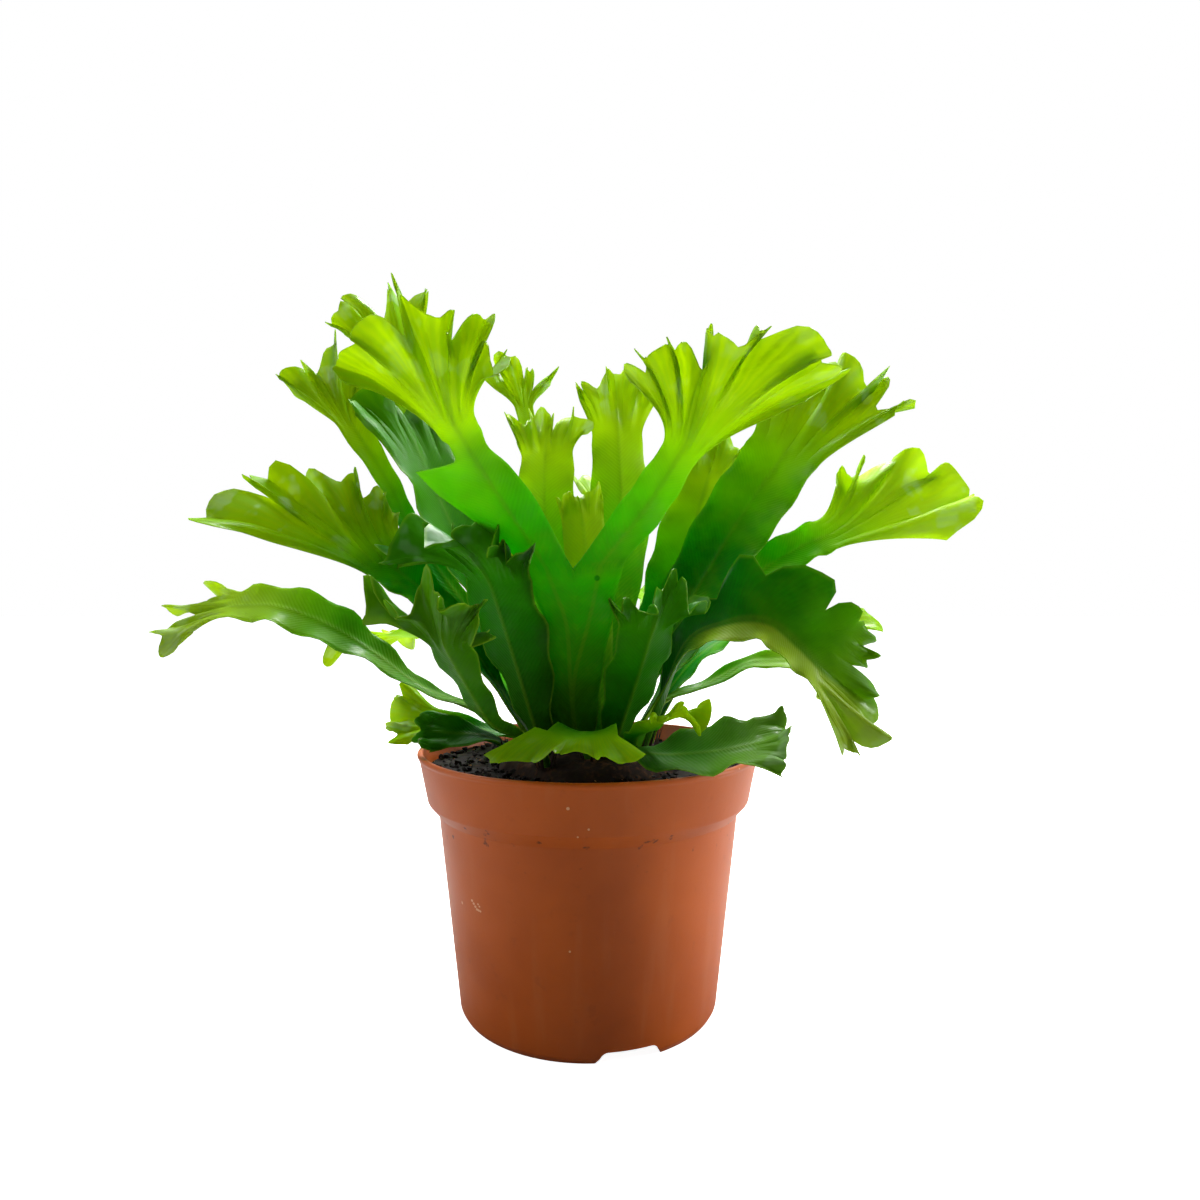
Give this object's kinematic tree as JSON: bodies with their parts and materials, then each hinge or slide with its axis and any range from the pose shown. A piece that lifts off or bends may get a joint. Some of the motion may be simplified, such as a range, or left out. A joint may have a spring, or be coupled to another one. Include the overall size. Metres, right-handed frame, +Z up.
{
  "type": "potted fern",
  "caption": "Crested bird's nest fern with forked, ruffled green fronds growing from a low crown in a brown plastic nursery pot of soil.",
  "frame": {"origin": "On the floor plane under the middle of the pot, which is also under the middle of the whole plant's bounding box", "axes": "+Z up along the pot's axis; -Y towards the viewer of the picture; +X to that viewer's right, along the plant's widest spread"},
  "size_m": [0.2874, 0.1955, 0.2676],
  "materials": {
    "pot": "satin",
    "soil": "matte",
    "crown": "matte",
    "leaf_green": "satin",
    "leaf_light": "satin",
    "leaf_dark": "satin",
    "leaf_pale": "satin"
  },
  "bodies": {
    "root": {"pot": "pot", "soil": "soil", "crown": "crown", "frond_front_tall": "leaf_green", "frond_centre_curled": "leaf_light", "frond_centre_right": "leaf_light", "frond_centre_blunt": "leaf_light", "frond_back_slim": "leaf_green", "frond_left_top": "leaf_green", "frond_left_high": "leaf_green", "frond_left_broad": "leaf_green", "frond_left_arching": "leaf_pale", "frond_left_dark": "leaf_dark", "frond_front_left": "leaf_green", "frond_left_small": "leaf_green", "frond_left_rim": "leaf_dark", "frond_front_low": "leaf_light", "frond_front_dark": "leaf_green", "frond_right_low": "leaf_dark", "frond_right_arching": "leaf_dark", "frond_right_stalk": "leaf_pale", "frond_right_light": "leaf_light", "frond_right_high": "leaf_green", "frond_right_twisted": "leaf_green", "frond_front_small": "leaf_dark", "frond_left_upright": "leaf_dark", "frond_left_edge": "leaf_light", "frond_back_62": "leaf_green", "frond_back_88": "leaf_dark", "frond_back_113": "leaf_green", "frond_back_35": "leaf_green", "frond_back_141": "leaf_light", "frond_back_78": "leaf_light"}
  },
  "joints": []
}
